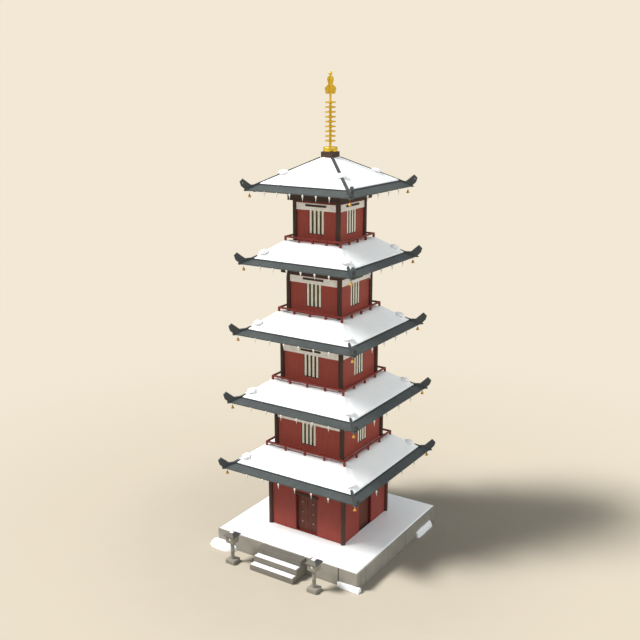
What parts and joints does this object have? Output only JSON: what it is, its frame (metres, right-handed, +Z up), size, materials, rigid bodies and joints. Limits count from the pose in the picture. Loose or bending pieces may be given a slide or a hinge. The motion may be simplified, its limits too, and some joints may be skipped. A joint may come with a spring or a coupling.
{
  "type": "five-storey timber pagoda",
  "caption": "Square timber pagoda tower with tiered hipped roofs under snow, railed galleries, a tall ringed finial, a stone platform with steps and stone lanterns.",
  "frame": {"origin": "on the ground under the middle of the tower, at the centre of the platform's underside", "axes": "+Z up, -Y towards the front with the steps and the double door, +X to the right seen from the front"},
  "size_m": [8.67, 9.294, 22.7703],
  "materials": {
    "dark_timber": "dark brown weathered timber, satin",
    "red_lacquer": "brick red painted boards, matt",
    "vermilion": "bright red painted rails, satin",
    "plaster": "cream lime plaster, matt",
    "roof_tile": "blue-grey clay tile, matt",
    "door_wood": "reddish brown door boards, matt",
    "stone": "warm grey cut stone, rough",
    "snow": "fresh snow, soft matt white",
    "gilt": "gilded metal, satin"
  },
  "bodies": {
    "tower": {"platform": "stone", "platform_snow": "snow", "step_lower": "stone", "step_middle": "stone", "step_upper": "stone", "lantern_left": "stone", "lantern_right": "stone", "snow_drift_left": "snow", "snow_drift_near": "snow", "snow_drift_right": "snow", "ground_floor": "dark_timber", "ground_frame": "dark_timber", "ground_wall_front_left": "red_lacquer", "ground_wall_front_right": "red_lacquer", "ground_wall_front_over": "red_lacquer", "ground_wall_left": "red_lacquer", "ground_wall_right": "red_lacquer", "ground_wall_back": "red_lacquer", "ground_panel_left": "door_wood", "ground_panel_right": "door_wood", "ground_panel_back": "door_wood", "door_frame": "dark_timber", "roof_1": "roof_tile", "roof_2": "roof_tile", "roof_3": "roof_tile", "roof_4": "roof_tile", "roof_5": "roof_tile", "roof_1_snow": "snow", "roof_2_snow": "snow", "roof_3_snow": "snow", "roof_4_snow": "snow", "roof_5_snow": "snow", "storey_2_frame": "dark_timber", "storey_3_frame": "dark_timber", "storey_4_frame": "dark_timber", "storey_5_frame": "dark_timber", "storey_2_walls": "red_lacquer", "storey_3_walls": "red_lacquer", "storey_4_walls": "red_lacquer", "storey_5_walls": "red_lacquer", "storey_2_plaster_band": "plaster", "storey_3_plaster_band": "plaster", "storey_4_plaster_band": "plaster", "storey_5_plaster_band": "plaster", "storey_2_railing": "vermilion", "storey_3_railing": "vermilion", "storey_4_railing": "vermilion", "storey_5_railing": "vermilion", "finial_block": "dark_timber", "finial_spire": "gilt", "finial_flame": "gilt", "finial_jewel": "gilt"},
    "left_door": {"door_leaf_left": "door_wood"},
    "right_door": {"door_leaf_right": "door_wood"}
  },
  "joints": [
    {"name": "left_door_hinge", "type": "hinge", "parent": "tower", "child": "left_door", "pos_m": [-0.563, -1.923, 1.87], "axis": [0, 0, 1], "range_deg": [0, 90]},
    {"name": "right_door_hinge", "type": "hinge", "parent": "tower", "child": "right_door", "pos_m": [0.563, -1.923, 1.87], "axis": [0, 0, -1], "range_deg": [0, 90]}
  ]
}
